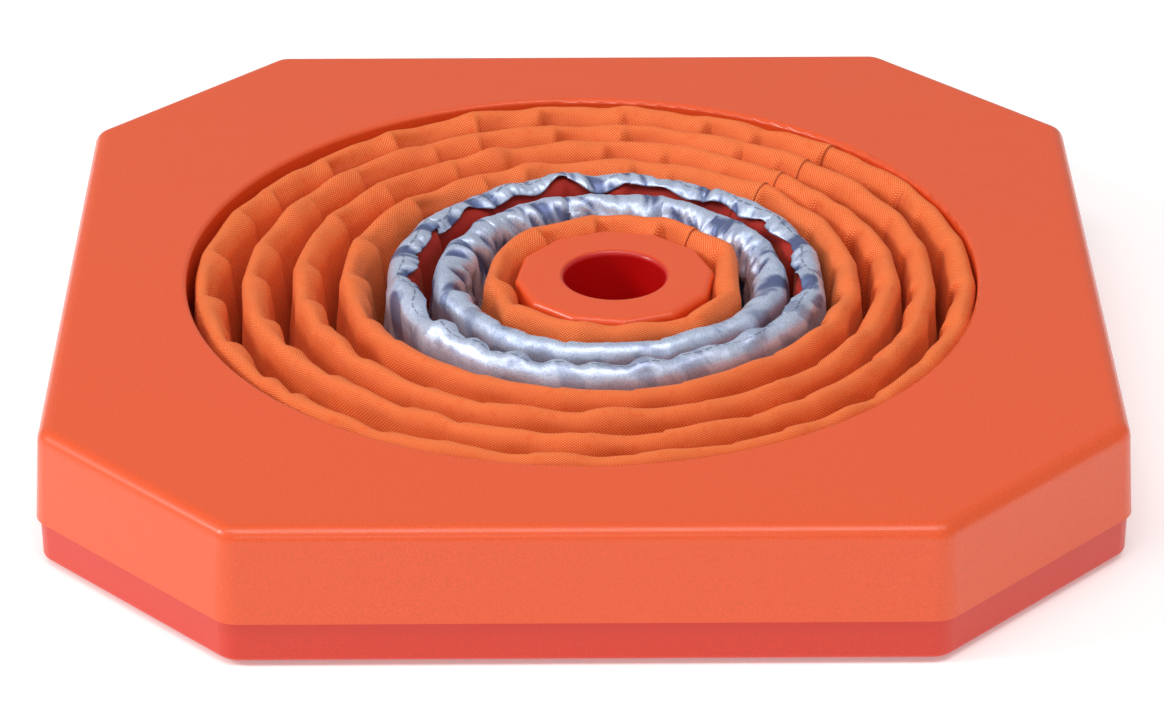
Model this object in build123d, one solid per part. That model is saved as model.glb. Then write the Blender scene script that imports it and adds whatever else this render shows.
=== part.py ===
"""Pop-up traffic cone, folded flat into its octagonal base.

Frame: origin on the ground under the middle of the base, +Z up, +Y towards the back.
All sizes are in millimetres. The folded cloth cone lies as a nest of round pleats in the
base's opening. The nest leans a little towards +X when it is folded, and is pulled straight
as it rises, so every pleat and hoop has its own centre on the X axis.
"""
import math
import os

from build123d import *

# ---- base, outside ----
BASE_WIDTH = 285.0  # across the flats, at the cover's lower edge
CORNER_CUT = 52.0  # length cut off each side at the corners of the square
CORNER_RADIUS = 8.0  # vertical corners
FOOT_PROUD = 1.5  # how far the rubber feet stand below the tray
TRAY_SHOWN = 11.8  # visible height of the tray below the cover
COVER_HEIGHT = 26.2
COVER_DRAFT = 3.8  # degrees, side walls of the cover
TRAY_DRAFT = 1.0  # degrees, side walls of the tray
TRAY_INSET = 1.0  # step in from the cover to the tray
TOP_FILLET = 4.0
TRAY_FILLET = 1.5
SEAM_GAP = 0.25  # between the cover's lower edge and the tray's shoulder

# ---- base, walls ----
WALL = 2.5
TOP_WALL = 2.8
FLOOR = 2.5
TONGUE_HEIGHT = 6.0  # tray wall that stands up inside the cover
TONGUE_WALL = 2.0
FIT_GAP = 0.2  # between the tongue and the cover
OPENING_RADIUS = 108.3
COLLAR_WALL = 2.4
OPENING_FILLET = 1.2

# ---- screws of the base ----
SCREW_RADIUS = 1.7
SCREW_LENGTH = 16.0
SCREW_HEAD_RADIUS = 3.6
SCREW_HEAD = 1.4
SCREW_GAP = 0.05
BOSS_RADIUS = 4.6
CORNER_BOSS_AT = 148.0  # from the middle, on the diagonals
SIDE_BOSS_AT = 127.0  # from the middle, on the flats
DRIVE_SLOT = 0.9
DRIVE_DEPTH = 0.8

# ---- feet ----
FOOT_RADIUS = 9.0
FOOT_RECESS = 1.0
FOOT_GAP = 0.2
FOOT_INSET = 20.0  # from the tray's outer edge to a foot's middle

# ---- cloth ----
PLEATS = 7
CLOTH = 0.6
PLEAT_PITCH = 11.77
FIRST_CREST = 103.3  # radius of the outermost pleat's crest
CREST_BEND = 3.1  # radius of the fold at a crest, at mid cloth
CREST_BELOW_COVER = 0.5
FIRST_OFFSET = 0.9  # how far the outermost pleat lies off centre, towards +X
OFFSET_STEP = 1.35  # and how much further each next pleat lies
FALL_SHORT = 7.0  # how far a pleat's inner side stops above the valley
HEM_WIDTH = 7.0
HEM_RING_HEIGHT = 3.2
BAND = 0.3  # reflective tape
BAND_START = 9.0  # above the valley
LOWER_BAND_PLEAT = 5
UPPER_BAND_PLEAT = 6
LOWER_BAND_TURN = 150  # degrees of the crest that the lower band covers

# ---- hoops ----
HOOP_WIRE = 1.25  # wire radius
SLEEVE_GAP = 0.1
SLEEVE = 0.6
HOOP_CLEAR = 0.45  # between the hoops' sleeves and the spring below
FERRULE_LENGTH = 12.0
FERRULE_WALL = 0.3
FERRULE_GAP = 0.04
SEAM_ANGLE = 47.0  # degrees from +X, where the cloth's seam and the hoops' joints are

# ---- lift spring ----
SPRING_WIRE = 1.0  # wire radius
SPRING_TURNS = 7
SPRING_OUTER = 101.0
SPRING_INNER = 20.0
CLIP_ANGLES = (10.0, 90.0, 170.0)
CLIP_WIDTH = 9.0
CLIP_WALL = 2.2
CLIP_GAP = 0.15

# ---- cap ----
CAP_SIDES = 12
CAP_RADIUS = 27.6  # over the corners
CAP_TURN = 5.0  # degrees that the corners are turned from +X
CAP_BELOW_COVER = 2.0
FLANGE_HEIGHT = 10.0
CAP_FILLET = 1.8
CAP_CORNER_RADIUS = 3.0
NECK_RADIUS = 24.0
CAP_WALL = 2.4
SOCKET_RADIUS = 13.9
SOCKET_WALL = 2.1
SOCKET_FILLET = 1.6
NECK_FOOT_Z = 9.6
CLAMP_HEIGHT = 2.2
CAP_SCREWS = 4
CAP_SCREW_RADIUS = 1.3
CAP_SCREW_LENGTH = 9.0
CAP_SCREW_HEAD_RADIUS = 2.4
CAP_SCREW_HEAD = 1.0
CAP_BOSS_RADIUS = 2.9
HEM_UPSTAND = 6.0

# ---- places worked out from the sizes ----
TRAY_Z = FOOT_PROUD
FLOOR_Z = TRAY_Z + FLOOR
COVER_Z = TRAY_Z + TRAY_SHOWN
TOP_Z = COVER_Z + COVER_HEIGHT
BEND_Z = TOP_Z - CREST_BELOW_COVER - CREST_BEND - CLOTH / 2
SPRING_Z = FLOOR_Z + SPRING_WIRE
SLEEVE_RADIUS = HOOP_WIRE + SLEEVE_GAP + SLEEVE
HOOP_Z = SPRING_Z + SPRING_WIRE + HOOP_CLEAR + SLEEVE_RADIUS
COLLAR_FOOT_Z = FLOOR_Z + CLOTH + HEM_RING_HEIGHT
CAP_TOP_Z = TOP_Z - CAP_BELOW_COVER
CAP_CENTRE = FIRST_OFFSET + (PLEATS - 1) * OFFSET_STEP
PLEAT_LEAN = (PLEAT_PITCH / 2 - CREST_BEND) / (BEND_Z - HOOP_Z)


def octagon(width, cut, radius):
    """A square with its corners cut off and the eight corners rounded."""
    half = width / 2
    near = half - cut
    points = [
        (half, near), (near, half), (-near, half), (-half, near),
        (-half, -near), (-near, -half), (near, -half), (half, -near),
    ]
    face = make_face(Polyline(*points, close=True))
    return fillet(face.vertices(), radius)


def shrunk(inset):
    """Width, corner cut and corner radius of the base's outline, moved in by inset."""
    cut = CORNER_CUT - inset * (2 - math.sqrt(2))
    return BASE_WIDTH - 2 * inset, cut, max(CORNER_RADIUS - inset, 1.0)


def polar(radius, degrees):
    """A point at a distance and an angle from the middle of the base."""
    angle = math.radians(degrees)
    return radius * math.cos(angle), radius * math.sin(angle)


def boss_places():
    """Where the eight screws of the base stand: the four corners, then the four sides."""
    corners = [polar(CORNER_BOSS_AT, 45 + 90 * i) for i in range(4)]
    sides = [polar(SIDE_BOSS_AT, 90 * i) for i in range(4)]
    return corners + sides


def foot_places():
    """Where the eight feet stand, one inside each corner of the octagon."""
    half = BASE_WIDTH / 2
    reach = math.hypot(half, half - CORNER_CUT) - FOOT_INSET
    lean = math.degrees(math.atan2(half - CORNER_CUT, half))
    return [polar(reach, 90 * i + side * lean) for i in range(4) for side in (-1, 1)]


def rod(x, y, low, high, radius):
    """An upright cylinder between two heights."""
    return Pos(x, y, low) * Cylinder(radius, high - low, align=(Align.CENTER, Align.CENTER, Align.MIN))


def ring(x, low, high, inner, outer):
    """An upright round ring between two heights, centred on the X axis."""
    return rod(x, 0, low, high, outer) - rod(x, 0, low - 1, high + 1, inner)


def cut_top_edges(shape, height):
    """The edges of a shape that lie in the plane at that height."""
    return shape.edges().filter_by_position(Axis.Z, height - 0.01, height + 0.01)


def revolved(points, x):
    """A closed outline of radius and height pairs, turned about the upright axis at x."""
    face = make_face(Plane.XZ * Polyline(*points, close=True))
    return Pos(x, 0, 0) * revolve(face, Axis.Z)


# ---- base ----
def base_cover():
    """The upper shell: sloping skirt, flat top, round opening with its collar, screw bosses."""
    outer = Pos(0, 0, COVER_Z) * extrude(octagon(*shrunk(0)), COVER_HEIGHT, taper=COVER_DRAFT)
    outer = fillet(cut_top_edges(outer, TOP_Z), TOP_FILLET)
    room = extrude(octagon(*shrunk(WALL)), COVER_HEIGHT - TOP_WALL, taper=COVER_DRAFT)
    shell = outer - Pos(0, 0, COVER_Z) * room
    shell -= rod(0, 0, COVER_Z, TOP_Z + 1, OPENING_RADIUS)
    rim = [
        e for e in cut_top_edges(shell, TOP_Z).filter_by(GeomType.CIRCLE)
        if abs(e.radius - OPENING_RADIUS) < 0.01
    ]
    shell = fillet(rim, OPENING_FILLET)
    under_top = TOP_Z - TOP_WALL
    shell += ring(0, COLLAR_FOOT_Z, under_top + 0.5, OPENING_RADIUS, OPENING_RADIUS + COLLAR_WALL)
    for x, y in boss_places():
        shell += rod(x, y, FLOOR_Z, under_top + 0.5, BOSS_RADIUS)
    for x, y in boss_places():
        top = FLOOR_Z + SCREW_LENGTH + 1.0
        shell -= rod(x, y, FLOOR_Z - 1, top, SCREW_RADIUS + SCREW_GAP)
    return shell


def base_tray():
    """The lower shell: floor, low wall, the tongue inside the cover, and the spring's clips."""
    shoulder = COVER_Z - SEAM_GAP
    low_inset = TRAY_INSET + (shoulder - TRAY_Z) * math.tan(math.radians(TRAY_DRAFT))
    tongue_inset = WALL + FIT_GAP + TONGUE_HEIGHT * math.tan(math.radians(COVER_DRAFT))
    tub = Pos(0, 0, TRAY_Z) * extrude(octagon(*shrunk(low_inset)), shoulder - TRAY_Z, taper=-TRAY_DRAFT)
    tub = fillet(cut_top_edges(tub, TRAY_Z), TRAY_FILLET)
    tub += Pos(0, 0, shoulder) * extrude(octagon(*shrunk(tongue_inset)), TONGUE_HEIGHT)
    inside = octagon(*shrunk(tongue_inset + TONGUE_WALL))
    tub -= Pos(0, 0, FLOOR_Z) * extrude(inside, shoulder + TONGUE_HEIGHT)
    for x, y in boss_places():
        tub -= rod(x, y, TRAY_Z - 1, FLOOR_Z + 1, SCREW_RADIUS + 0.3)
        tub -= rod(x, y, TRAY_Z - 1, TRAY_Z + SCREW_HEAD, SCREW_HEAD_RADIUS + 0.3)
    for x, y in foot_places():
        tub -= rod(x, y, TRAY_Z - 1, TRAY_Z + FOOT_RECESS, FOOT_RADIUS + FOOT_GAP)
    for degrees in CLIP_ANGLES:
        tub += spring_clip(degrees)
    return tub


def spring_clip(degrees):
    """A hook on the tray's floor that holds the outer turn of the lift spring down."""
    height = 2 * SPRING_WIRE + CLIP_GAP
    inner = SPRING_OUTER + SPRING_WIRE + CLIP_GAP
    low = (Align.MIN, Align.CENTER, Align.MIN)
    post = Pos(inner, 0, FLOOR_Z) * Box(CLIP_WALL, CLIP_WIDTH, height + 1.5, align=low)
    lip = Pos(SPRING_OUTER, 0, FLOOR_Z + height) * Box(inner - SPRING_OUTER, CLIP_WIDTH, 1.5, align=low)
    return Rot(0, 0, degrees) * (post + lip)


def base_screws():
    """Eight self-tapping screws, driven up through the tray into the cover's bosses."""
    seat = TRAY_Z + SCREW_HEAD
    screws = []
    for x, y in boss_places():
        screw = rod(x, y, seat, FLOOR_Z + SCREW_LENGTH, SCREW_RADIUS)
        screw += rod(x, y, TRAY_Z, seat, SCREW_HEAD_RADIUS)
        for turn in (0, 90):
            slot = Box(2 * SCREW_HEAD_RADIUS * 0.7, DRIVE_SLOT, 2 * DRIVE_DEPTH)
            screw -= Pos(x, y, TRAY_Z) * Rot(0, 0, turn) * slot
        screws.append(screw)
    return Compound(children=[s.solid() for s in screws])


def rubber_feet():
    """Eight round pads in shallow recesses under the tray."""
    pads = []
    for x, y in foot_places():
        pad = rod(x, y, 0, TRAY_Z + FOOT_RECESS, FOOT_RADIUS)
        pads.append(chamfer(cut_top_edges(pad, 0), 0.5).solid())
    return Compound(children=pads)


def hem_clamp_ring():
    """The ring that the cover's collar presses on the cloth's bottom hem."""
    low = FLOOR_Z + CLOTH
    return ring(0, low, COLLAR_FOOT_Z, OPENING_RADIUS + 0.2, OPENING_RADIUS + 0.2 + HEM_WIDTH)


# ---- lift spring ----
def lift_spring():
    """The conical spring, folded flat: half circles that meet on the X axis, each smaller."""
    steps = SPRING_TURNS
    right = [SPRING_OUTER + (CAP_CENTRE + SPRING_INNER - SPRING_OUTER) * i / steps for i in range(steps + 1)]
    left = [-SPRING_OUTER + (CAP_CENTRE - SPRING_INNER + SPRING_OUTER) * i / steps for i in range(steps)]
    arcs = []
    for i in range(steps):
        for start, end, side in ((right[i], left[i], 1), (left[i], right[i + 1], -1)):
            middle = (start + end) / 2
            radius = abs(start - end) / 2
            arcs.append(ThreePointArc((start, 0), (middle, side * radius), (end, 0)))
    path = Pos(0, 0, SPRING_Z) * Wire(arcs)
    section = Plane((right[0], 0, SPRING_Z), x_dir=(1, 0, 0), z_dir=(0, 1, 0)) * Circle(SPRING_WIRE)
    return sweep(section, path=path)


# ---- cloth ----
def crest_radius(pleat):
    """Radius of a pleat's crest; pleats count from 1 at the outside."""
    return FIRST_CREST - (pleat - 1) * PLEAT_PITCH


def pleat_centre(pleat):
    """How far a folded pleat's middle lies towards +X."""
    return FIRST_OFFSET + (pleat - 1) * OFFSET_STEP


def arch(distance, lean, low, inner_low, end=180):
    """A pleat's outline at a distance from mid cloth, from its outer foot over the crest.

    lean is how far the outer side slopes out for each millimetre down, low and inner_low are the
    heights of the outer and inner feet, and end is how many degrees of the crest are covered.
    """
    bend = CREST_BEND + distance
    points = [(bend + (BEND_Z - low) * lean, low)]
    for degrees in range(0, end + 1, 10):
        angle = math.radians(degrees)
        points.append((bend * math.cos(angle), BEND_Z + bend * math.sin(angle)))
    if inner_low is not None:
        points.append((-bend, inner_low))
    return points


def pleat_shell(pleat, near, far, lean, low, inner_low, end=180):
    """A skin that follows a pleat between two distances from mid cloth."""
    outside = arch(far, lean, low, inner_low, end)
    inside = arch(near, lean, low, inner_low, end)
    crest = crest_radius(pleat)
    outline = [(crest + u, z) for u, z in outside + inside[::-1]]
    return revolved(outline, pleat_centre(pleat))


def cloth_pleat(pleat):
    """One round pleat of the cloth cone, from its outer foot over the crest to its inner side.

    The outermost pleat stands straight down in the opening and turns out under the collar.
    """
    half = CLOTH / 2
    if pleat > 1:
        return pleat_shell(pleat, -half, half, PLEAT_LEAN, HOOP_Z, HOOP_Z + FALL_SHORT)
    shell = pleat_shell(pleat, -half, half, 0, FLOOR_Z, HOOP_Z + FALL_SHORT)
    hem = ring(0, FLOOR_Z, FLOOR_Z + CLOTH, crest_radius(1), OPENING_RADIUS + HEM_WIDTH)
    room = crest_radius(1) + CREST_BEND
    return shell + (hem - rod(pleat_centre(1), 0, 0, TOP_Z, room))


def reflective_band(pleat, over_inner_side):
    """The silver tape on a pleat; it may go on down the pleat's inner side."""
    half = CLOTH / 2
    low = HOOP_Z + BAND_START
    if over_inner_side:
        return pleat_shell(pleat, half, half + BAND, PLEAT_LEAN, low, low)
    return pleat_shell(pleat, half, half + BAND, PLEAT_LEAN, low, None, LOWER_BAND_TURN)


def cloth_top_hem():
    """The cloth's top edge: turned in under the cap's neck and standing up round it."""
    outer = NECK_RADIUS + 0.1 + CLOTH
    upstand = ring(CAP_CENTRE, NECK_FOOT_Z, NECK_FOOT_Z + HEM_UPSTAND, NECK_RADIUS + 0.1, outer)
    inner = SOCKET_RADIUS + SOCKET_WALL + 1.5
    flat = ring(CAP_CENTRE, NECK_FOOT_Z - CLOTH, NECK_FOOT_Z, inner, outer)
    hem = upstand + flat
    for x, y in cap_screw_places():
        hem -= rod(x, y, 0, TOP_Z, CAP_SCREW_RADIUS + 0.2)
    return hem


# ---- hoops ----
def hoop_radius(hoop):
    """Radius of a hoop, whose sleeve lies against the foot of the next pleat in."""
    foot = crest_radius(hoop + 1) + CREST_BEND + (BEND_Z - HOOP_Z) * PLEAT_LEAN
    return foot - (CLOTH / 2 + SLEEVE_RADIUS) * math.hypot(1, PLEAT_LEAN)


def hoop_centre(hoop):
    """A hoop shares its middle with the next pleat in, which stands on it."""
    return pleat_centre(hoop + 1)


def arc_tube(radius, inner, outer, start, sweep_degrees):
    """Part of a round tube that is bent round the origin, solid where inner is 0."""
    section = Pos(radius, 0, 0) * Circle(outer)
    if inner > 0:
        section -= Pos(radius, 0, 0) * Circle(inner)
    face = Plane.XZ * section
    return Rot(0, 0, start) * revolve(face, Axis.Z, sweep_degrees)


def wire_hoop(hoop):
    """A steel wire bent to a ring, its ends joined by a crimped ferrule at the seam."""
    radius = hoop_radius(hoop)
    gap = math.degrees(0.5 / radius)
    wire = arc_tube(radius, 0, HOOP_WIRE, SEAM_ANGLE + gap / 2, 360 - gap)
    span = math.degrees(FERRULE_LENGTH / radius)
    bore = HOOP_WIRE + FERRULE_GAP
    ferrule = arc_tube(radius, bore, bore + FERRULE_WALL, SEAM_ANGLE - span / 2, span)
    at = Pos(hoop_centre(hoop), 0, HOOP_Z)
    return Compound(children=[(at * wire).solid(), (at * ferrule).solid()])


def hoop_sleeve(hoop):
    """The sewn tunnel that holds a hoop, open for the length of its ferrule."""
    radius = hoop_radius(hoop)
    span = math.degrees((FERRULE_LENGTH + 1.0) / radius)
    inner = HOOP_WIRE + SLEEVE_GAP
    tube = arc_tube(radius, inner, inner + SLEEVE, SEAM_ANGLE + span / 2, 360 - span)
    return Pos(hoop_centre(hoop), 0, HOOP_Z) * tube


# ---- cap ----
def cap_screw_places():
    """Where the cap's screws stand, between its neck and its socket."""
    radius = (SOCKET_RADIUS + SOCKET_WALL + NECK_RADIUS - CAP_WALL) / 2
    places = [polar(radius, 45 + 360 * i / CAP_SCREWS) for i in range(CAP_SCREWS)]
    return [(CAP_CENTRE + x, y) for x, y in places]


def top_cap():
    """The cap: twelve-sided flange, round neck, and a round socket right through it."""
    outline = fillet(RegularPolygon(CAP_RADIUS, CAP_SIDES, rotation=CAP_TURN).vertices(), CAP_CORNER_RADIUS)
    flange = Pos(CAP_CENTRE, 0, CAP_TOP_Z - FLANGE_HEIGHT) * extrude(outline, FLANGE_HEIGHT)
    flange = fillet(cut_top_edges(flange, CAP_TOP_Z), CAP_FILLET)
    cap = flange + rod(CAP_CENTRE, 0, NECK_FOOT_Z, CAP_TOP_Z - 1, NECK_RADIUS)
    room_top = CAP_TOP_Z - CAP_WALL
    tube = SOCKET_RADIUS + SOCKET_WALL
    cap -= ring(CAP_CENTRE, NECK_FOOT_Z - 1, room_top, tube, NECK_RADIUS - CAP_WALL)
    cap += ring(CAP_CENTRE, NECK_FOOT_Z, room_top, SOCKET_RADIUS, tube)
    cap -= rod(CAP_CENTRE, 0, 0, TOP_Z, SOCKET_RADIUS)
    mouth = [
        e for e in cut_top_edges(cap, CAP_TOP_Z).filter_by(GeomType.CIRCLE)
        if abs(e.radius - SOCKET_RADIUS) < 0.01
    ]
    cap = fillet(mouth, SOCKET_FILLET)
    for x, y in cap_screw_places():
        cap += rod(x, y, NECK_FOOT_Z, room_top + 0.5, CAP_BOSS_RADIUS)
    for x, y in cap_screw_places():
        cap -= rod(x, y, 0, NECK_FOOT_Z + CAP_SCREW_LENGTH, CAP_SCREW_RADIUS + SCREW_GAP)
    return cap


def clamp_foot_z():
    """Height of the clamp ring's underside, where the heads of the cap's screws are sunk."""
    return NECK_FOOT_Z - CLOTH - CLAMP_HEIGHT


def cap_clamp_ring():
    """The disc that clamps the cloth's top hem under the cap's neck."""
    low = clamp_foot_z()
    inner = SOCKET_RADIUS + SOCKET_WALL + 0.2
    disc = ring(CAP_CENTRE, low, low + CLAMP_HEIGHT, inner, NECK_RADIUS)
    for x, y in cap_screw_places():
        disc -= rod(x, y, 0, TOP_Z, CAP_SCREW_RADIUS + 0.2)
        disc -= rod(x, y, 0, low + CAP_SCREW_HEAD, CAP_SCREW_HEAD_RADIUS + 0.2)
    return disc


def cap_screws():
    """The screws that pull the clamp ring up against the neck."""
    low = clamp_foot_z()
    screws = []
    for x, y in cap_screw_places():
        screw = rod(x, y, low, low + CAP_SCREW_HEAD, CAP_SCREW_HEAD_RADIUS)
        screw += rod(x, y, low, NECK_FOOT_Z + CAP_SCREW_LENGTH - 1.0, CAP_SCREW_RADIUS)
        screws.append(screw.solid())
    return Compound(children=screws)


def all_parts():
    """Every sub-part by its node's name."""
    parts = {
        "base_cover": base_cover(),
        "base_tray": base_tray(),
        "base_screws": base_screws(),
        "rubber_feet": rubber_feet(),
        "hem_clamp_ring": hem_clamp_ring(),
        "lift_spring": lift_spring(),
        "reflective_band_lower": reflective_band(LOWER_BAND_PLEAT, False),
        "reflective_band_upper": reflective_band(UPPER_BAND_PLEAT, True),
        "top_cap": top_cap(),
        "cap_clamp_ring": cap_clamp_ring(),
        "cap_screws": cap_screws(),
        "cloth_top_hem": cloth_top_hem(),
    }
    for pleat in range(1, PLEATS + 1):
        parts[f"cloth_pleat_{pleat}"] = cloth_pleat(pleat)
    for hoop in range(1, PLEATS):
        parts[f"wire_hoop_{hoop}"] = wire_hoop(hoop)
        parts[f"hoop_sleeve_{hoop}"] = hoop_sleeve(hoop)
    return parts


if __name__ == "__main__":
    os.makedirs("parts", exist_ok=True)
    for name, shape in all_parts().items():
        export_step(shape, f"parts/{name}.step")
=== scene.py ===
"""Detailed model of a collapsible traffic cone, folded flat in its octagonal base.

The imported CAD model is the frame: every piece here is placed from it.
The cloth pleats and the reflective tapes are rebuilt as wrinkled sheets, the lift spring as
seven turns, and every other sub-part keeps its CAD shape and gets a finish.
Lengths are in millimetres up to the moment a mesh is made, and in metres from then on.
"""

import logging
import math
from dataclasses import dataclass, field
from enum import Enum

import bmesh
import bpy
import numpy as np
from mathutils import Matrix, Vector, noise

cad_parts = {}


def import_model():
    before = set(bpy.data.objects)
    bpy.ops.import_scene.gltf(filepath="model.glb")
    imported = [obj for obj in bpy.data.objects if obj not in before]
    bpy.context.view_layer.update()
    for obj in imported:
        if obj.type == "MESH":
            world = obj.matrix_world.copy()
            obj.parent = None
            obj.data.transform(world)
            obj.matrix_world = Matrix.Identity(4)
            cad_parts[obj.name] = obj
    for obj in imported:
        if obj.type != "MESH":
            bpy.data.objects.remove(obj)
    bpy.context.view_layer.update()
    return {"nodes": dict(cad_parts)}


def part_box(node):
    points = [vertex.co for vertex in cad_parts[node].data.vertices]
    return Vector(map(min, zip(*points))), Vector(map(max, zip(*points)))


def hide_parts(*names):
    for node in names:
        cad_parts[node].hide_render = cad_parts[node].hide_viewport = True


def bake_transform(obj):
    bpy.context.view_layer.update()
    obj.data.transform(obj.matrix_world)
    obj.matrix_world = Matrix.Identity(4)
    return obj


LOG = logging.getLogger("cone")
MM = 0.001
HOOPS = 6
PLEATS = 7


def linear(hex_colour: str) -> tuple[float, float, float, float]:
    """Turns an sRGB hex colour into linear RGBA.

    Args:
        hex_colour: Six hex digits, with no leading mark.

    Returns:
        The linear colour with an alpha of one.
    """
    parts = [int(hex_colour[i : i + 2], 16) / 255 for i in (0, 2, 4)]
    rgb = [c / 12.92 if c <= 0.04045 else ((c + 0.055) / 1.055) ** 2.4 for c in parts]
    return rgb[0], rgb[1], rgb[2], 1.0


class Nodes:
    """Builds one material's node tree."""

    def __init__(self, name: str) -> None:
        """Starts a material with an empty tree, a shader and an output.

        Args:
            name: The material's name.
        """
        self.material = bpy.data.materials.new(name)
        self.material.use_nodes = True
        self.tree = self.material.node_tree
        self.tree.nodes.clear()
        self.shader = self.add("ShaderNodeBsdfPrincipled")
        output = self.add("ShaderNodeOutputMaterial")
        self.tree.links.new(self.shader.outputs[0], output.inputs[0])

    @classmethod
    def over(cls, material: bpy.types.Material) -> "Nodes":
        """Goes on with a material that was already built.

        Args:
            material: The material.

        Returns:
            A builder for its tree.
        """
        again = cls.__new__(cls)
        again.material = material
        again.tree = material.node_tree
        again.shader = next(x for x in again.tree.nodes if x.type == "BSDF_PRINCIPLED")
        return again

    def add(self, kind: str, inputs: dict | None = None, **settings) -> bpy.types.Node:
        """Adds a node.

        Args:
            kind: The node's type.
            inputs: Socket name or number to a value, or to an output socket to link from.
            **settings: The node's own properties.

        Returns:
            The new node.
        """
        node = self.tree.nodes.new(kind)
        for key, value in settings.items():
            setattr(node, key, value)
        for key, value in (inputs or {}).items():
            if isinstance(value, bpy.types.NodeSocket):
                self.tree.links.new(value, node.inputs[key])
            else:
                node.inputs[key].default_value = value
        return node

    def math(self, operation: str, *values) -> bpy.types.NodeSocket:
        """Adds a math node.

        Args:
            operation: The operation's name.
            *values: Numbers or output sockets.

        Returns:
            The node's output.
        """
        inputs = dict(enumerate(values))
        return self.add("ShaderNodeMath", inputs, operation=operation).outputs[0]

    def mix(self, share, first, second) -> bpy.types.NodeSocket:
        """Mixes two colours.

        Args:
            share: How much of the second colour, a number or a socket.
            first: The colour at 0.
            second: The colour at 1.

        Returns:
            The mixed colour's socket.
        """
        node = self.add("ShaderNodeMix", data_type="RGBA")
        for key, value in ((0, share), (6, first), (7, second)):
            if isinstance(value, bpy.types.NodeSocket):
                self.tree.links.new(value, node.inputs[key])
            else:
                node.inputs[key].default_value = value
        return node.outputs[2]

    def ramp(self, value, low: float, high: float) -> bpy.types.NodeSocket:
        """Maps a value to 0 below low and 1 above high.

        Args:
            value: The socket that is mapped.
            low: Where the result leaves 0.
            high: Where the result reaches 1.

        Returns:
            The mapped value's socket.
        """
        inputs = {"Value": value, "From Min": low, "From Max": high}
        return self.add("ShaderNodeMapRange", inputs, interpolation_type="SMOOTHSTEP").outputs[0]

    def grain(self, size_mm: float, detail: float = 2.0) -> bpy.types.NodeSocket:
        """Adds noise in object coordinates.

        Args:
            size_mm: The size of one blotch.
            detail: The noise's octaves.

        Returns:
            The noise's value, around 0.5.
        """
        place = self.add("ShaderNodeTexCoord").outputs["Object"]
        inputs = {"Vector": place, "Scale": 1 / (size_mm * MM), "Detail": detail}
        return self.add("ShaderNodeTexNoise", inputs).outputs[0]

    def bump(self, height, depth_mm: float, strength: float = 1.0, normal=None) -> bpy.types.NodeSocket:
        """Adds a bump from a height between 0 and 1.

        Args:
            height: The height's socket.
            depth_mm: How far a height of 1 stands out.
            strength: The bump's strength.
            normal: Another bump's output to build on.

        Returns:
            The bumped normal's socket.
        """
        inputs = {"Height": height, "Distance": depth_mm * MM, "Strength": strength}
        if normal is not None:
            inputs["Normal"] = normal
        return self.add("ShaderNodeBump", inputs).outputs[0]

    def set(self, **values) -> None:
        """Sets or links the shader's sockets.

        Args:
            **values: Socket name, with underscores for spaces, to a value or an output socket.
        """
        for key, value in values.items():
            socket = self.shader.inputs[key.replace("_", " ")]
            if isinstance(value, bpy.types.NodeSocket):
                self.tree.links.new(value, socket)
            else:
                socket.default_value = value


@dataclass(frozen=True)
class Plastic:
    """A moulded plastic finish.

    Attributes:
        name: The material's name.
        colour: Hex colour.
        roughness: Middle of the roughness.
        grain_mm: Size of the moulded texture.
        grain_depth_mm: Depth of the moulded texture.
    """

    name: str
    colour: str
    roughness: float = 0.42
    grain_mm: float = 0.5
    grain_depth_mm: float = 0.012

    def build(self) -> bpy.types.Material:
        """Makes the material.

        Returns:
            The material.
        """
        n = Nodes(self.name)
        base = linear(self.colour)
        paler = tuple(min(1.0, c * 1.07 + 0.004) for c in base[:3]) + (1.0,)
        darker = tuple(c * 0.93 for c in base[:3]) + (1.0,)
        cloud = n.grain(38.0, 3.0)
        fine = n.grain(self.grain_mm, 3.0)
        mottled = n.mix(n.ramp(fine, 0.3, 0.7), darker, paler)
        colour = n.mix(n.math("MULTIPLY", n.ramp(cloud, 0.35, 0.65), 0.35), mottled, base)
        spread = n.math("MULTIPLY_ADD", n.grain(9.0, 4.0), 0.12, self.roughness - 0.06)
        n.set(Base_Color=colour, Roughness=spread, IOR=1.46)
        n.set(Coat_Weight=0.5, Coat_Roughness=0.14, Coat_IOR=1.4)
        n.set(Normal=n.bump(fine, self.grain_depth_mm))
        return n.material


@dataclass(frozen=True)
class BoredPlastic(Plastic):
    """A moulded plastic with painted shade in its deep bore, a darker, redder colour.

    Attributes:
        bore: Hex colour of the painted shade inside the bore.
        centre_mm: Where the bore's axis stands along X.
        radius_mm: The bore's radius.
    """

    bore: str = "c80000"
    centre_mm: float = 9.0
    radius_mm: float = 13.9

    def build(self) -> bpy.types.Material:
        """Makes the material.

        Returns:
            The material.
        """
        material = super().build()
        n = Nodes.over(material)
        place = n.add("ShaderNodeTexCoord").outputs["Object"]
        off = n.add("ShaderNodeVectorMath", {0: place, 1: (-self.centre_mm * MM, 0, 0)}, operation="ADD")
        flat = n.add("ShaderNodeVectorMath", {0: off.outputs[0], 1: (1, 1, 0)}, operation="MULTIPLY")
        reach = n.add("ShaderNodeVectorMath", {0: flat.outputs[0]}, operation="LENGTH").outputs["Value"]
        radius = self.radius_mm * MM
        # Painted shade: the inside of the bore is coloured darker and redder.
        inside = n.math("SUBTRACT", 1.0, n.ramp(reach, radius + 0.0001, radius + 0.0016))
        before = n.shader.inputs["Base Color"].links[0].from_socket
        n.set(Base_Color=n.mix(inside, before, linear(self.bore)))
        return material


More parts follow.
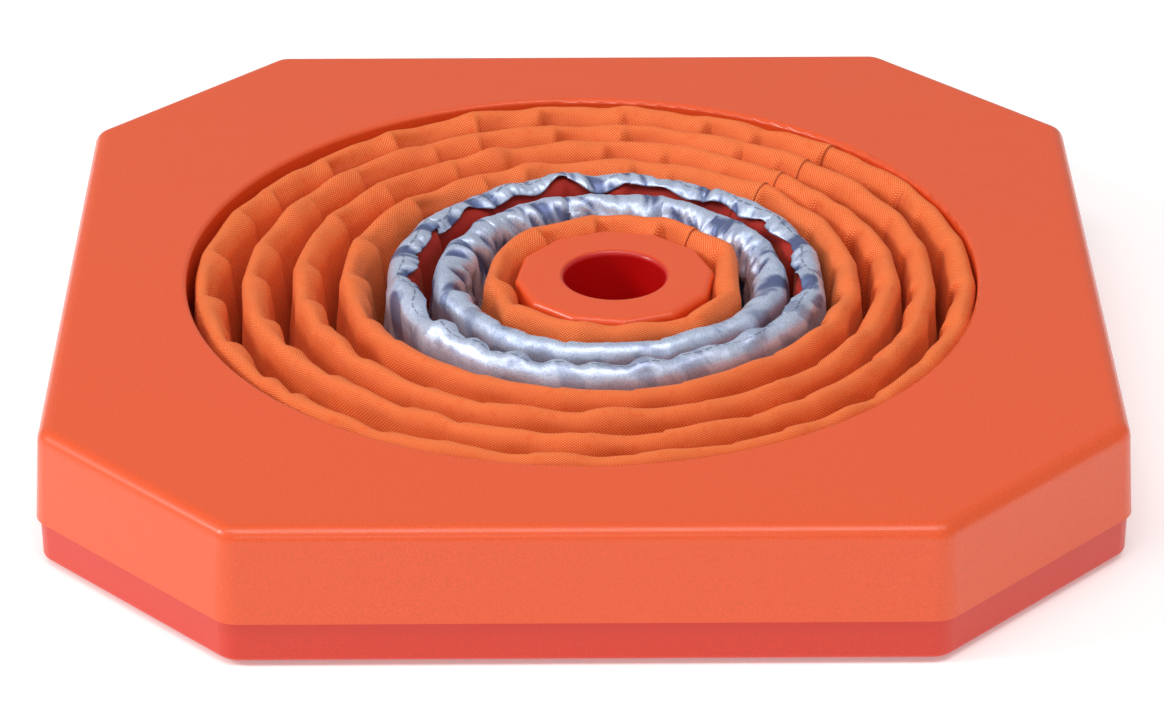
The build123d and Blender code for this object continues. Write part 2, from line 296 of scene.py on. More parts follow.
@dataclass(frozen=True)
class Metal:
    """A metal finish with drawing marks or light wear.

    Attributes:
        name: The material's name.
        colour: Hex colour.
        roughness: Middle of the roughness.
    """

    name: str
    colour: str
    roughness: float = 0.32

    def build(self) -> bpy.types.Material:
        """Makes the material.

        Returns:
            The material.
        """
        n = Nodes(self.name)
        base = linear(self.colour)
        dull = tuple(c * 0.7 for c in base[:3]) + (1.0,)
        marks = n.grain(1.4, 5.0)
        n.set(Base_Color=n.mix(n.ramp(marks, 0.35, 0.7), dull, base), Metallic=1.0)
        n.set(Roughness=n.math("MULTIPLY_ADD", marks, 0.2, self.roughness - 0.1))
        n.set(Normal=n.bump(n.grain(0.6, 3.0), 0.006))
        return n.material


@dataclass(frozen=True)
class Rubber:
    """A matt black rubber.

    Attributes:
        name: The material's name.
        colour: Hex colour.
    """

    name: str
    colour: str = "191919"

    def build(self) -> bpy.types.Material:
        """Makes the material.

        Returns:
            The material.
        """
        n = Nodes(self.name)
        base = linear(self.colour)
        dusty = linear("3a3835")
        n.set(Base_Color=n.mix(n.ramp(n.grain(4.0, 4.0), 0.5, 0.75), base, dusty), Roughness=0.85)
        n.set(Normal=n.bump(n.grain(0.4, 3.0), 0.02))
        return n.material


@dataclass(frozen=True)
class Cloth:
    """A plain-woven coated cloth with a sewn seam where U is 0, drawn on a UV map in millimetres.

    A piece with no such map shows the plain colour of the seam's line, with no weave.

    Attributes:
        name: The material's name.
        colour: Hex colour of the threads' sides.
        crown_highlight: Hex colour of the painted highlight on the threads' crowns.
        pitch_mm: The distance from thread to thread.
    """

    name: str
    colour: str
    crown_highlight: str
    pitch_mm: float = 0.465

    def build(self) -> bpy.types.Material:
        """Makes the material.

        Returns:
            The material.
        """
        n = Nodes(self.name)
        place = n.add("ShaderNodeUVMap", uv_map="cloth").outputs[0]
        axes = n.add("ShaderNodeSeparateXYZ", {0: place})
        u, v = axes.outputs[0], axes.outputs[1]
        across = n.math("SINE", n.math("MULTIPLY", u, math.pi / self.pitch_mm))
        along = n.math("SINE", n.math("MULTIPLY", v, math.pi / self.pitch_mm))
        checker = n.math("MULTIPLY", across, along)
        height = n.math("MULTIPLY_ADD", checker, 0.5, 0.5)
        uneven = n.grain(2.2, 3.0)
        # Painted highlight: the threads' crowns are lightened, in uneven patches.
        lit = n.math("MULTIPLY", n.ramp(height, 0.5, 0.9), n.ramp(uneven, 0.1, 0.5))
        side, crown_highlight = linear(self.colour), linear(self.crown_highlight)
        woven = n.mix(lit, side, crown_highlight)
        deep = tuple(c * 0.8 for c in side[:3]) + (1.0,)
        colour = n.mix(n.math("MULTIPLY", n.ramp(n.grain(14.0, 3.0), 0.5, 0.8), 0.15), woven, deep)
        # Painted shade: the cloth is darker in the dents and deep between pleats, by the fold attribute.
        fold = n.add("ShaderNodeAttribute", attribute_name="fold").outputs["Fac"]
        shaded = (side[0] * 0.62, side[1] * 0.36, side[2] * 0.36, 1.0)
        colour = n.mix(n.math("MULTIPLY", fold, 0.8), colour, shaded)
        line = n.math("SUBTRACT", 1.0, n.ramp(n.math("ABSOLUTE", u), 0.12, 0.34))
        colour = n.mix(n.math("MULTIPLY", line, 0.5), colour, linear("8a2208"))
        groove = n.bump(n.math("MULTIPLY", line, -1.0), 0.3)
        n.set(Base_Color=colour, Roughness=0.62, IOR=1.45, Normal=n.bump(height, 0.16, 0.9, groove))
        n.set(Sheen_Weight=0.15, Sheen_Roughness=0.4, Sheen_Tint=linear("ffb27a"))
        return n.material


@dataclass(frozen=True)
class Tape:
    """A silver glass-bead reflective tape, with a stitch line beside its free edge.

    Attributes:
        name: The material's name.
        colour: Hex colour.
        stitched: Whether the stitch line is drawn.
        stitch_mm: Length of one stitch and its gap.
        stitch_inset_mm: Distance of the stitch line from the free edge.
    """

    name: str
    colour: str = "d2def6"
    stitched: bool = False
    stitch_mm: float = 3.2
    stitch_inset_mm: float = 3.4

    def build(self) -> bpy.types.Material:
        """Makes the material.

        Returns:
            The material.
        """
        n = Nodes(self.name)
        base = linear(self.colour)
        place = n.add("ShaderNodeUVMap", uv_map="cloth").outputs[0]
        axes = n.add("ShaderNodeSeparateXYZ", {0: place})
        u, v = axes.outputs[0], axes.outputs[1]
        beads = n.grain(0.42, 2.0)
        worn = n.ramp(n.grain(6.0, 5.0), 0.5, 0.72)
        fold = n.add("ShaderNodeAttribute", attribute_name="fold").outputs["Fac"]
        colour = n.mix(n.math("MULTIPLY", worn, 0.45), base, linear("93a3c6"))
        colour = n.mix(n.math("MULTIPLY", n.ramp(beads, 0.5, 0.68), 0.35), colour, linear("f4f8ff"))
        colour = n.mix(n.math("MULTIPLY", n.ramp(beads, 0.5, 0.32), 0.3), colour, linear("6f7fa8"))
        # Painted shade: the tape turns dark blue-grey on the ring's sides and back and between the
        # crinkles' ridges, by the fold attribute.
        colour = n.mix(n.math("MULTIPLY", fold, 0.85), colour, linear("44548a"))
        if self.stitched:
            wave = n.math("SINE", n.math("MULTIPLY", u, 2 * math.pi / self.stitch_mm))
            dash = n.ramp(wave, -0.75, -0.55)
            near = n.math("ABSOLUTE", n.math("SUBTRACT", v, self.stitch_inset_mm))
            line = n.math("MULTIPLY", n.math("SUBTRACT", 1.0, n.ramp(near, 0.16, 0.34)), dash)
            colour = n.mix(n.math("MULTIPLY", line, 0.55), colour, linear("4a5370"))
        n.set(Base_Color=colour, Metallic=0.62, IOR=1.5)
        n.set(Roughness=n.math("MULTIPLY_ADD", worn, 0.12, 0.46))
        n.set(Normal=n.bump(beads, 0.03, 0.8, n.bump(n.grain(2.4, 4.0), 0.15, 0.8)))
        return n.material


class Finish(Enum):
    """The finishes that the pieces are painted with."""

    COVER = Plastic("cover_plastic", "e65420")
    TRAY = Plastic("tray_plastic", "d52e0c", 0.45)
    CAP = BoredPlastic("cap_plastic", "e65420", 0.46)
    CLAMP = Plastic("clamp_plastic", "1d1d1e", 0.5)
    CLOTH = Cloth("cone_cloth", "f05f1e", "ffab68")
    # A darker red copy of the cone cloth: painted shade for pleat 5.
    SHADED_CLOTH = Cloth("cloth_painted_shade", "ab180b", "cc3014")
    LOWER_TAPE = Tape("reflective_tape", stitched=True)
    UPPER_TAPE = Tape("reflective_tape_turned")
    HOOP = Metal("hoop_wire", "a3a4a8")
    SPRING = Metal("spring_steel", "8b8c90", 0.38)
    SCREW = Metal("screw_steel", "c4c5c8", 0.28)
    FOOT = Rubber("foot_rubber")


class Library:
    """Makes each finish once."""

    def __init__(self) -> None:
        """Starts with no materials."""
        self._made: dict[Finish, bpy.types.Material] = {}

    def get(self, finish: Finish) -> bpy.types.Material:
        """Gives a finish's material.

        Args:
            finish: The finish.

        Returns:
            The material, made on the first call.
        """
        if finish not in self._made:
            self._made[finish] = finish.value.build()
        return self._made[finish]

    def paint(self, obj: bpy.types.Object, finish: Finish) -> None:
        """Gives an object one material in all its slots.

        Args:
            obj: The object.
            finish: The finish.
        """
        material = self.get(finish)
        if not obj.data.materials:
            obj.data.materials.append(material)
        for slot in obj.material_slots:
            slot.material = material


CAD_FINISH = {
    "base_cover": Finish.COVER,
    "base_tray": Finish.TRAY,
    "base_screws": Finish.SCREW,
    "rubber_feet": Finish.FOOT,
    "hem_clamp_ring": Finish.CLAMP,
    "top_cap": Finish.CAP,
    "cap_clamp_ring": Finish.CLAMP,
    "cap_screws": Finish.SCREW,
    "cloth_top_hem": Finish.CLOTH,
}


def box_mm(node: str) -> tuple[np.ndarray, np.ndarray]:
    """A CAD node's lowest and highest corners in millimetres.

    Args:
        node: The node's name.

    Returns:
        The two corners.
    """
    low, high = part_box(node)
    return np.array(low) / MM, np.array(high) / MM


def smooth(x: np.ndarray) -> np.ndarray:
    """Smoothstep of a value, held between 0 and 1.

    Args:
        x: The values.

    Returns:
        The smoothed values.
    """
    x = np.clip(x, 0, 1)
    return x * x * (3 - 2 * x)


class Waves:
    """Smooth noise round a ring, as a sum of cosines."""

    def __init__(self, seed: int, low: int, high: int) -> None:
        """Chooses the waves.

        Args:
            seed: Which noise.
            low: The fewest waves round the ring.
            high: The most waves round the ring.
        """
        rng = np.random.default_rng(seed)
        self.count = np.arange(low, high + 1)
        self.phase = rng.uniform(0, 2 * math.pi, len(self.count))
        self.size = rng.uniform(0.4, 1.0, len(self.count))
        self.size /= math.sqrt((self.size**2).sum() / 2)

    def at(self, theta: np.ndarray) -> np.ndarray:
        """The noise at some angles.

        Args:
            theta: Angles in radians.

        Returns:
            Values with a spread of about one.
        """
        turn = theta[..., None] * self.count + self.phase
        return (self.size * np.cos(turn)).sum(-1)


class Creases:
    """The folds that run down a pleat's inner side, unevenly spaced round the ring."""

    def __init__(self, seed: int, count: int) -> None:
        """Chooses the folds.

        Args:
            seed: Which set of folds.
            count: How many folds there are.
        """
        rng = np.random.default_rng(seed)
        step = 2 * math.pi / count
        jitter = rng.uniform(-0.3, 0.3, count)
        self.edges = np.sort((np.arange(count) + 0.5 + jitter) * step) % (2 * math.pi)
        self.edges.sort()
        self.depth = rng.uniform(0.25, 1.0, count)
        self.count = count

    def phase(self, theta: np.ndarray) -> tuple[np.ndarray, np.ndarray]:
        """Where angles lie between two folds, counted clockwise from a fold.

        Args:
            theta: Angles in radians.

        Returns:
            The share of the way to the next fold, and the fold's depth.
        """
        turn = theta % (2 * math.pi)
        after = np.searchsorted(self.edges, turn) % self.count
        before = (after - 1) % self.count
        span = (self.edges[after] - self.edges[before]) % (2 * math.pi)
        share = ((self.edges[after] - turn) % (2 * math.pi)) / span
        return share, self.depth[after]


@dataclass
class Pleat:
    """One round pleat of the cloth cone.

    Attributes:
        number: 1 for the outermost pleat.
        radius: Radius of the crest's middle, in mm.
        centre: Where the pleat's axis stands along X, in mm.
        next_centre: Where the next pleat's axis stands, in mm.
        top: Height of the crest, in mm.
        outer_foot: Offset from the crest's middle and height of the outer foot.
        inner_foot: The same for the inner foot.
        half_width: Half width of the crest's bend on the outer side, in mm.
        inner_width: The same on the inner side.
        half_height: Height of the crest's bend on the outer side, in mm.
        inner_height: The same on the inner side.

    OUTER and INNER are where the bend starts and ends along the section. FOLD_SPACING is the
    middle distance between two folds, and the sizes after it are how far each wrinkle moves the
    cloth, all in mm, except for FACET, a share of the sag between two folds.
    """

    OUTER = 0.36
    INNER = 0.64
    FOLD_SPACING = 23.0
    DENT = 3.3
    BULGE = 1.9
    NOTCH = 2.2
    CREST_DIP = 0.25
    FACET = 0.75
    WANDER = 0.45
    SIDE_RIPPLE = 0.28
    CREST_RIPPLE = 0.30
    CREST_FLUTE = 0.12
    SIDE_FLUTE = 0.16

    number: int
    radius: float
    centre: float
    next_centre: float
    top: float
    outer_foot: tuple[float, float]
    inner_foot: tuple[float, float]
    half_width: float = 2.7
    inner_width: float = 4.7
    half_height: float = 4.2
    inner_height: float = 6.2
    creases: Creases = field(init=False)
    slow: Waves = field(init=False)
    ripple: Waves = field(init=False)
    flute: Waves = field(init=False)

    def __post_init__(self) -> None:
        """Chooses the pleat's folds and waves."""
        count = max(8, round(2 * math.pi * self.radius / self.FOLD_SPACING))
        self.creases = Creases(40 + self.number, count)
        self.slow = Waves(100 + self.number, 2, 6)
        self.ripple = Waves(200 + self.number, count // 2, count + 4)
        self.flute = Waves(300 + self.number, count, 2 * count)

    def profile(self, t: np.ndarray) -> tuple[np.ndarray, np.ndarray]:
        """The plain section of the pleat.

        Args:
            t: 0 at the outer foot, 0.5 on the crest, 1 at the inner foot.

        Returns:
            Offsets from the crest's middle and heights, in mm.
        """
        middle = self.top - self.half_height
        inside = self.top - self.inner_height
        rise = np.clip(t / self.OUTER, 0, 1)
        turn = np.clip((t - self.OUTER) / (self.INNER - self.OUTER), 0, 1) * math.pi
        fall = np.clip((t - self.INNER) / (1 - self.INNER), 0, 1)
        (ou, oz), (iu, iz) = self.outer_foot, self.inner_foot
        wide = np.where(t < 0.5, self.half_width, self.inner_width)
        tall = np.where(t < 0.5, self.half_height, self.inner_height)
        flare = (self.half_width - ou) * (1 - (1 - rise) ** 3)
        u = np.where(t < self.OUTER, ou + flare, wide * np.cos(turn))
        z = np.where(t < self.OUTER, oz + (middle - oz) * rise, self.top - tall * (1 - np.sin(turn)))
        u = np.where(t > self.INNER, -self.inner_width + (iu + self.inner_width) * fall, u)
        z = np.where(t > self.INNER, inside + (iz - inside) * fall, z)
        u += 0.5 * np.sin(rise * math.pi) ** 2 * (t < self.OUTER)
        return u, z

    def length(self) -> float:
        """The section's length in mm."""
        u, z = self.profile(np.linspace(0, 1, 200))
        return float(np.hypot(np.diff(u), np.diff(z)).sum())

    def points(self, theta: np.ndarray, t: np.ndarray) -> np.ndarray:
        """The wrinkled surface.

        Args:
            theta: Angles in radians, any shape.
            t: Places along the section, the same shape.

        Returns:
            Points in mm, with a last axis of three.
        """
        u, z = self.profile(t)
        share, depth = self.creases.phase(theta)
        dent = depth * (1 - share) ** 1.2 * smooth(share / 0.05)
        down = smooth((t - 0.505) / 0.085)
        hold = 1 - smooth((t - 0.86) / 0.14)
        swell = 0.68 + 0.32 * np.sin(theta - 0.9)
        crest = np.exp(-(((t - 0.5) / 0.11) ** 2))
        u = u + self.DENT * dent * down * (0.3 + 0.7 * hold) * swell
        u = u - self.BULGE * share**2 * depth * down * hold * swell
        z = z - self.NOTCH * dent * np.exp(-(((t - 0.57) / 0.05) ** 2)) * swell
        z = z - self.CREST_DIP * dent * crest * swell
        arc = 2 * math.pi / self.creases.count
        sag = self.radius * arc * arc / 8
        u = u - self.FACET * sag * (4 * share * (1 - share) - 0.5) * smooth(t / 0.3)
        free = smooth(t / 0.3) * (1 - smooth((t - 0.8) / 0.2))
        u = u + self.WANDER * self.slow.at(theta) * free
        outside = np.sin(math.pi * np.clip(t / 0.42, 0, 1))
        u = u + self.SIDE_RIPPLE * self.ripple.at(theta + 0.12 * t) * outside
        z = z + self.CREST_RIPPLE * self.ripple.at(theta) * crest
        z = z + self.CREST_FLUTE * self.flute.at(theta + 0.3) * crest
        u = u + self.SIDE_FLUTE * self.flute.at(theta - 0.1 * t) * (outside + down * hold)
        radius = self.radius + u
        middle = self.centre + (self.next_centre - self.centre) * smooth((t - 0.6) / 0.4)
        return np.stack([middle + radius * np.cos(theta), radius * np.sin(theta), z], -1)

    def hollow(self, theta: np.ndarray, t: np.ndarray) -> np.ndarray:
        """Painted shade for each place: how deep in a fold it lies.

        Args:
            theta: Angles in radians.
            t: Places along the section, the same shape.

        Returns:
            0 on the crest, up to about 1 in a dent or deep between two pleats.
        """
        share, depth = self.creases.phase(theta)
        dent = depth * (1 - share) ** 1.6 * smooth(share / 0.04)
        down = smooth((t - 0.54) / 0.07)
        deep = smooth((t - 0.60) / 0.2) + smooth((0.26 - t) / 0.2)
        return 0.75 * dent * down + 0.3 * deep

    def weight(self, t: np.ndarray) -> np.ndarray:
        """How far each place follows the hoop inside the pleat.

        Args:
            t: Places along the section.

        Returns:
            0 up to the crest, then in step with the length down to the inner foot.
        """
        fine = np.linspace(0.5, 1, 200)
        u, z = self.profile(fine)
        length = np.concatenate([[0], np.hypot(np.diff(u), np.diff(z)).cumsum()])
        return np.interp(t, fine, length / length[-1], left=0.0)


class Sheets:
    """Turns pleats into cloth and tape pieces.

    SEAM is the angle of the cloth's seam. The other sizes are in mm: the room between two cloths,
    the first crest's centre and outer reach, how far the other crests stand inside their CAD
    nodes, how far a crest lies below the cover's top, and how far the last pleat overlaps its hem.
    """

    SEAM = math.radians(47.0)
    ROOM = 0.3
    FIRST_CENTRE = 1.3
    FIRST_REACH = 106.8
    CREST_INSET = 2.8
    CREST_DROP = 0.45
    HEM_OVERLAP = 3.0

    def __init__(self, library: Library) -> None:
        """Reads the CAD's sizes.

        Args:
            library: The finishes.
        """
        self.library = library
        self.bodies = ["base"] + [f"hoop_{i}" for i in range(1, HOOPS + 1)] + ["cap"]
        self.pleats = [self._pleat(k) for k in range(1, PLEATS + 1)]

    def _pleat(self, number: int) -> Pleat:
        """Works one pleat out from its CAD node.

        Args:
            number: 1 for the outermost pleat.

        Returns:
            The pleat.
        """
        cover_top = box_mm("base_cover")[1][2]
        low, high = box_mm(f"cloth_pleat_{number}")
        width = Pleat.half_width
        if number == 1:
            centre, outer = self.FIRST_CENTRE, self.FIRST_REACH
            foot = (width + self.ROOM, box_mm("hem_clamp_ring")[0][2] - self.ROOM)
        else:
            centre, reach = (low[0] + high[0]) / 2, (high[0] - low[0]) / 2
            outer = reach - self.CREST_INSET
            foot = (reach - self.ROOM - (outer - width), low[2])
        crest = outer - width
        if number < PLEATS:
            inner = box_mm(f"cloth_pleat_{number + 1}")
            last = ((inner[1][0] - inner[0][0]) / 2 - self.ROOM - crest, inner[0][2])
        else:
            inner = box_mm("cloth_top_hem")
            last = ((inner[1][0] - inner[0][0]) / 2 - crest, inner[1][2] - self.HEM_OVERLAP)
        step = (inner[1][0] + inner[0][0]) / 2
        return Pleat(number, crest, centre, step, cover_top - self.CREST_DROP, foot, last)

    def angles(self, count: int) -> np.ndarray:
        """Angles round a ring from the seam on, closer together beside it.

        Args:
            count: How many even steps.

        Returns:
            Angles in radians, from the seam round to just before it.
        """
        even = self.SEAM + np.arange(count) * 2 * math.pi / count
        near = np.array([0.0025, 0.005, 0.0075])
        return np.sort(np.concatenate([even, self.SEAM + near, self.SEAM + 2 * math.pi - near]))

    def mesh(self, name: str, grid: np.ndarray, uv: np.ndarray) -> bpy.types.Object:
        """Makes a closed ring of quads from a grid of points.

        Args:
            name: The piece's name.
            grid: Points in mm: first axis round the ring, second along the section.
            uv: Millimetre places, with one more row than the grid, for the ring's end.

        Returns:
            The piece.
        """
        rows, columns = grid.shape[:2]
        form = bmesh.new()
        verts = [[form.verts.new(Vector(p) * MM) for p in row] for row in grid]
        layer = form.loops.layers.uv.new("cloth")
        for i in range(rows):
            for j in range(columns - 1):
                corners = [(i, j), (i + 1, j), (i + 1, j + 1), (i, j + 1)]
                face = form.faces.new([verts[a % rows][b] for a, b in corners])
                face.smooth = True
                for loop, (a, b) in zip(face.loops, corners):
                    loop[layer].uv = uv[a][b]
        data = bpy.data.meshes.new(name)
        form.to_mesh(data)
        form.free()
        obj = bpy.data.objects.new(name, data)
        bpy.context.scene.collection.objects.link(obj)
        return obj

    def shade(self, obj: bpy.types.Object, depth: np.ndarray) -> None:
        """Stores painted shade for each point as its fold attribute, which the finish darkens by.

        Args:
            obj: The piece.
            depth: 0 to 1 for each point.
        """
        layer = obj.data.attributes.new("fold", "FLOAT", "POINT")
        layer.data.foreach_set("value", np.clip(depth, 0, 1).astype(np.float32).ravel())

    def attach(self, obj: bpy.types.Object, pleat: Pleat, t: np.ndarray) -> None:
        """Bakes a piece's transform into its mesh and works out how far each point would follow a hoop;
        these weights are not used.

        Args:
            obj: The piece.
            pleat: The pleat it belongs to.
            t: Each point's place along the section.
        """
        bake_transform(obj)
        weights = pleat.weight(t).astype(np.float32).ravel()

    def cloth(self, pleat: Pleat) -> bpy.types.Object:
        """Makes one pleat's cloth.

        Args:
            pleat: The pleat.

        Returns:
            The piece.
        """
        theta = self.angles(max(240, round(2 * math.pi * pleat.radius / 1.1)))
        t = np.linspace(0, 1, 56)
        angle, place = np.meshgrid(theta, t, indexing="ij")
        grid = pleat.points(angle, place)
        lap = np.clip((angle - self.SEAM) * pleat.radius / 5.0, 0, 1)
        out = grid - np.array([pleat.centre, 0, pleat.top - 12.0])
        out[..., :2] -= np.stack([np.cos(angle), np.sin(angle)], -1) * pleat.radius
        out /= np.linalg.norm(out, axis=-1, keepdims=True)
        grid = grid + out * (0.55 * (1 - smooth(lap)) * smooth(lap * 25))[..., None]
        turn = np.append(theta, theta[0] + 2 * math.pi) - self.SEAM
        along = np.linspace(0, pleat.length(), len(t))
        uv = np.stack(np.meshgrid(turn * pleat.radius, along, indexing="ij"), -1)
        obj = self.mesh(f"pleat_{pleat.number}_cloth", grid, uv)
        self.library.paint(obj, Finish.CLOTH)
        self.shade(obj, pleat.hollow(angle, place))
        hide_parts(f"cloth_pleat_{pleat.number}")
        self.attach(obj, pleat, place)
        size = (2 * math.pi * pleat.radius * MM, pleat.length() * MM)
        return obj

    def crinkle(self, arc: np.ndarray, along: np.ndarray, size_mm: tuple[float, float]) -> np.ndarray:
        """Creases with sharp ridges, longer across the ring than round it.

        Args:
            arc: Millimetres round the ring.
            along: Millimetres along the section.
            size_mm: A crease's size round the ring and along the section.

        Returns:
            One value a point, up to about 1 on a ridge.
        """
        lean = arc + 0.35 * along
        pairs = zip((lean / size_mm[0]).ravel(), (along / size_mm[1]).ravel())
        values = [1 - 3.2 * abs(noise.noise(Vector((a, b, size_mm[0])))) for a, b in pairs]
        return np.array(values).reshape(arc.shape)

    def tape(self, pleat: Pleat, name: str, first: float, last: float, free: bool) -> bpy.types.Object:
        """Makes the reflective tape of one pleat.

        Args:
            pleat: The pleat it is sewn to.
            name: The piece's name.
            first: Where it starts along the section.
            last: Where it ends along the section.
            free: Whether the last edge is free and wavy.

        Returns:
            The piece.
        """
        theta = self.angles(round(2 * math.pi * pleat.radius / 0.55))
        share = np.linspace(0, 1, 64)
        angle, along = np.meshgrid(theta, share, indexing="ij")
        edge = Waves(500 + pleat.number, 9, 22)
        frill = Waves(600 + pleat.number, 14, 32)
        end = last + (0.014 * edge.at(angle) if free else 0.0)
        place = first + (end - first) * along
        grid = pleat.points(angle, place)
        ahead = pleat.points(angle, np.clip(place + 0.004, 0, 1))
        aside = pleat.points(angle + 0.004, place)
        normal = np.cross(aside - grid, ahead - grid)
        normal /= np.maximum(np.linalg.norm(normal, axis=-1, keepdims=True), 1e-9)
        outward = np.stack([np.cos(angle), np.sin(angle), 0 * angle], -1)
        facing = outward * np.where(place < 0.5, 1.0, -1.0)[..., None] + np.array([0, 0, 0.6])
        normal *= np.sign((normal * facing).sum(-1).mean())
        arc, run = angle * pleat.radius, place * pleat.length()
        rough = self.crinkle(arc, run, (6.5, 13.0)) + 0.45 * self.crinkle(arc, run, (2.8, 6.0))
        # Low at the ring's front, high on its sides and back: it sets the crinkles' lift and the tape's
        # painted shade.
        calm = 0.35 + 0.65 * smooth((np.sin(angle) + 0.55) / 0.5)
        inside = smooth((place - 0.45) / 0.15)
        lift = 0.35 + 0.75 * (0.25 + inside) * calm * (0.6 + rough)
        if free:
            curl = smooth((along - 0.72) / 0.28)
            lift = lift + curl * (0.6 + 0.6 * frill.at(angle)).clip(-0.1, 1.8)
        grid = grid + normal * np.maximum(lift, 0.2)[..., None]
        turn = np.append(theta, theta[0] + 2 * math.pi) - self.SEAM
        width = pleat.length() * (last - first)
        uv = np.stack(np.meshgrid(turn * pleat.radius, (1 - share) * width, indexing="ij"), -1)
        obj = self.mesh(name, grid, uv)
        self.library.paint(obj, Finish.LOWER_TAPE if free else Finish.UPPER_TAPE)
        # Painted shade for the tape: darker towards the ring's sides and back, and between the crinkles'
        # ridges.
        self.shade(obj, calm * (0.08 + 1.1 * smooth((0.35 - rough) / 0.8)))
        self.attach(obj, pleat, np.clip(place, 0, 1))
        thick = obj.modifiers.new("thickness", "SOLIDIFY")
        thick.thickness = 0.0003
        thick.offset = 0.0
        return obj

    def build(self) -> None:
        """Makes all the cloth and both tapes."""
        for pleat in self.pleats:
            self.cloth(pleat)
        lower = self.tape(self.pleats[4], "lower_band_tape", 0.12, 0.56, True)
        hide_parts("reflective_band_lower")
        upper = self.tape(self.pleats[5], "upper_band_tape", 0.12, 0.99, False)
        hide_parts("reflective_band_upper")
        # Painted shade: pleat 5, under the lower tape, gets the darker red copy of the cloth.
        under = bpy.data.objects["pleat_5_cloth"]
        self.library.paint(under, Finish.SHADED_CLOTH)


class Spring:
    """The lift spring, in one piece for each body that it lifts.

    INNER_RADIUS is the smallest turn's, in mm. STEPS and AROUND are a turn's divisions.
    """

    INNER_RADIUS = 20.0
    STEPS = 96
    AROUND = 12

    def __init__(self, library: Library, bodies: list[str]) -> None:
        """Reads the CAD spring's sizes.

        Args:
            library: The finishes.
            bodies: The bodies from the base up to the cap; kept, but not used.
        """
        self.library = library
        self.bodies = bodies
        low, high = box_mm("lift_spring")
        self.wire = (high[2] - low[2]) / 2
        self.height = (high[2] + low[2]) / 2
        self.outer = high[0] - self.wire
        cap_low, cap_high = box_mm("cap_clamp_ring")
        self.centre = (cap_low[0] + cap_high[0]) / 2

    def turn(self, number: int) -> bpy.types.Object:
        """Makes one turn of the flat spiral, all at the spring's height.

        Args:
            number: 1 for the outermost turn.

        Returns:
            The piece.
        """
        steps, around = self.STEPS, self.AROUND
        share = (np.arange(steps + 1) / steps + number - 1) / PLEATS
        angle = 2 * math.pi * PLEATS * share
        radius = self.outer + (self.INNER_RADIUS - self.outer) * share
        middle = self.centre * share
        form = bmesh.new()
        rings = []
        for a, r, m in zip(angle, radius, middle):
            ring = []
            for i in range(around):
                b = 2 * math.pi * i / around
                reach = r + self.wire * math.cos(b)
                level = self.height + self.wire * math.sin(b)
                place = Vector((m + reach * math.cos(a), reach * math.sin(a), level))
                ring.append(form.verts.new(place * MM))
            rings.append(ring)
        for first, second in zip(rings, rings[1:]):
            for i in range(around):
                j = (i + 1) % around
                form.faces.new([first[i], first[j], second[j], second[i]]).smooth = True
        form.faces.new(rings[0])
        form.faces.new(list(reversed(rings[-1])))
        bmesh.ops.recalc_face_normals(form, faces=form.faces)
        data = bpy.data.meshes.new(f"lift_spring_turn_{number}")
        form.to_mesh(data)
        form.free()
        obj = bpy.data.objects.new(data.name, data)
        bpy.context.scene.collection.objects.link(obj)
        self.library.paint(obj, Finish.SPRING)
        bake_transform(obj)
        return obj

    def build(self) -> None:
        """Makes the seven turns."""
        for number in range(1, PLEATS + 1):
            obj = self.turn(number)
            if number == 1:
                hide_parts("lift_spring")


@dataclass(frozen=True)
class Softbox:
    """A rectangular light that points at a place on the object.

    Attributes:
        name: The light's name.
        place: Where it stands, in metres.
        size: Its width and height, in metres.
        power: In watts.
        colour: Hex colour.
    """

    name: str
    place: tuple[float, float, float]
    size: tuple[float, float]
    power: float
    colour: str = "ffffff"

    def build(self) -> None:
        """Adds the light to the scene."""
        data = bpy.data.lights.new(self.name, "AREA")
        data.shape = "RECTANGLE"
        data.size, data.size_y = self.size
        data.energy = self.power
        data.color = linear(self.colour)[:3]
        obj = bpy.data.objects.new(self.name, data)
        obj.location = self.place
        aim = Vector((0, 0, 0.02)) - Vector(self.place)
        obj.rotation_euler = aim.to_track_quat("-Z", "Y").to_euler()
        bpy.context.scene.collection.objects.link(obj)


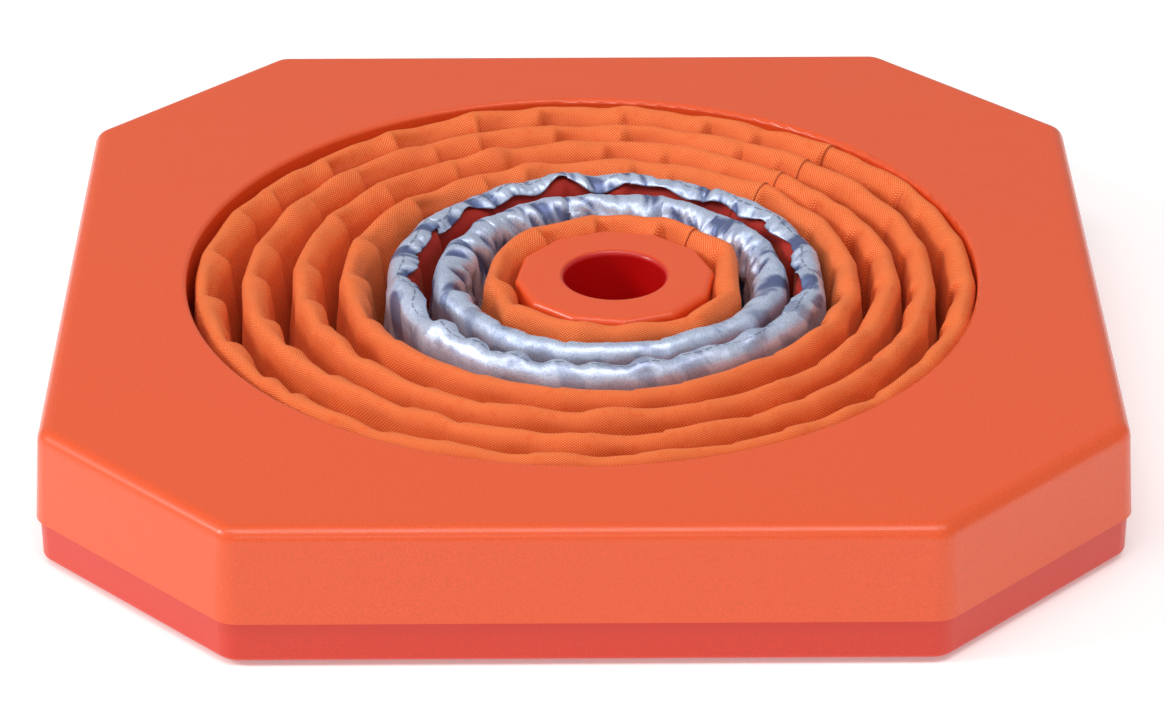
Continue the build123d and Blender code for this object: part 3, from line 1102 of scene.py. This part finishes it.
class Studio:
    """The floor, the lights, the world and the camera."""

    LIGHTS = (
        Softbox("front_softbox", (0.0, -0.6, 2.05), (2.6, 0.6), 18.5),
        Softbox("edge_strip", (0.0, -1.0, 1.9), (1.25, 0.04), 6.0),
        Softbox("camera_softbox", (-0.15, -2.1, 1.15), (0.6, 0.5), 2.0),
        Softbox("left_softbox", (-2.0, -0.35, 1.25), (0.6, 0.6), 22.0),
    )
    WORLD = 0.4
    SENSOR_MM = 36.0
    LENS_MM = 141.1856
    DISTANCE = 1.2845
    ELEVATION = 28.51
    AZIMUTH = -0.37
    ROLL = -0.08
    TARGET = (0.0001, 0.0159, 0.0015)

    def floor(self) -> None:
        """Adds a plain pale floor under the object, which gives a little light of its own."""
        form = bmesh.new()
        bmesh.ops.create_grid(form, x_segments=1, y_segments=1, size=6.0)
        data = bpy.data.meshes.new("floor")
        form.to_mesh(data)
        form.free()
        obj = bpy.data.objects.new("floor", data)
        bpy.context.scene.collection.objects.link(obj)
        n = Nodes("floor_paper")
        n.set(Base_Color=linear("fbfbfb"), Roughness=0.9)
        n.set(Emission_Color=linear("ffffff"), Emission_Strength=0.22)
        data.materials.append(n.material)

    def world(self) -> None:
        """Lights the scene evenly from all round."""
        world = bpy.data.worlds.new("studio")
        world.use_nodes = True
        background = world.node_tree.nodes["Background"]
        background.inputs[0].default_value = (1.0, 1.0, 1.0, 1.0)
        background.inputs[1].default_value = self.WORLD
        bpy.context.scene.world = world

    def camera(self) -> None:
        """Stands the camera where the view was taken from."""
        data = bpy.data.cameras.new("camera")
        data.sensor_width = self.SENSOR_MM
        data.lens = self.LENS_MM
        data.clip_start, data.clip_end = 0.05, 50.0
        el, az, roll = (math.radians(a) for a in (self.ELEVATION, self.AZIMUTH, self.ROLL))
        back = Vector((math.sin(az) * math.cos(el), -math.cos(az) * math.cos(el), math.sin(el)))
        right = (-back).cross(Vector((0, 0, 1))).normalized()
        up = right.cross(-back)
        right, up = (
            right * math.cos(roll) + up * math.sin(roll),
            up * math.cos(roll) - right * math.sin(roll),
        )
        turn = Matrix((right, up, back)).transposed().to_4x4()
        obj = bpy.data.objects.new("camera", data)
        obj.matrix_world = Matrix.Translation(Vector(self.TARGET) + back * self.DISTANCE) @ turn
        bpy.context.scene.collection.objects.link(obj)
        bpy.context.scene.camera = obj

    def build(self) -> None:
        """Sets the whole studio up."""
        self.floor()
        self.world()
        for light in self.LIGHTS:
            light.build()
        self.camera()
        bpy.context.scene.view_settings.view_transform = "Standard"


def main() -> None:
    """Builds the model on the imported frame."""
    logging.basicConfig(level=logging.INFO, format="%(name)s: %(message)s")
    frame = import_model()
    library = Library()
    for name, finish in CAD_FINISH.items():
        library.paint(frame["nodes"][name], finish)
    for i in range(1, HOOPS + 1):
        library.paint(frame["nodes"][f"wire_hoop_{i}"], Finish.HOOP)
        library.paint(frame["nodes"][f"hoop_sleeve_{i}"], Finish.CLOTH)
    sheets = Sheets(library)
    sheets.build()
    LOG.info("cloth and tapes made")
    Spring(library, sheets.bodies).build()
    Studio().build()
    LOG.info("sizes written")


if __name__ == "__main__":
    main()
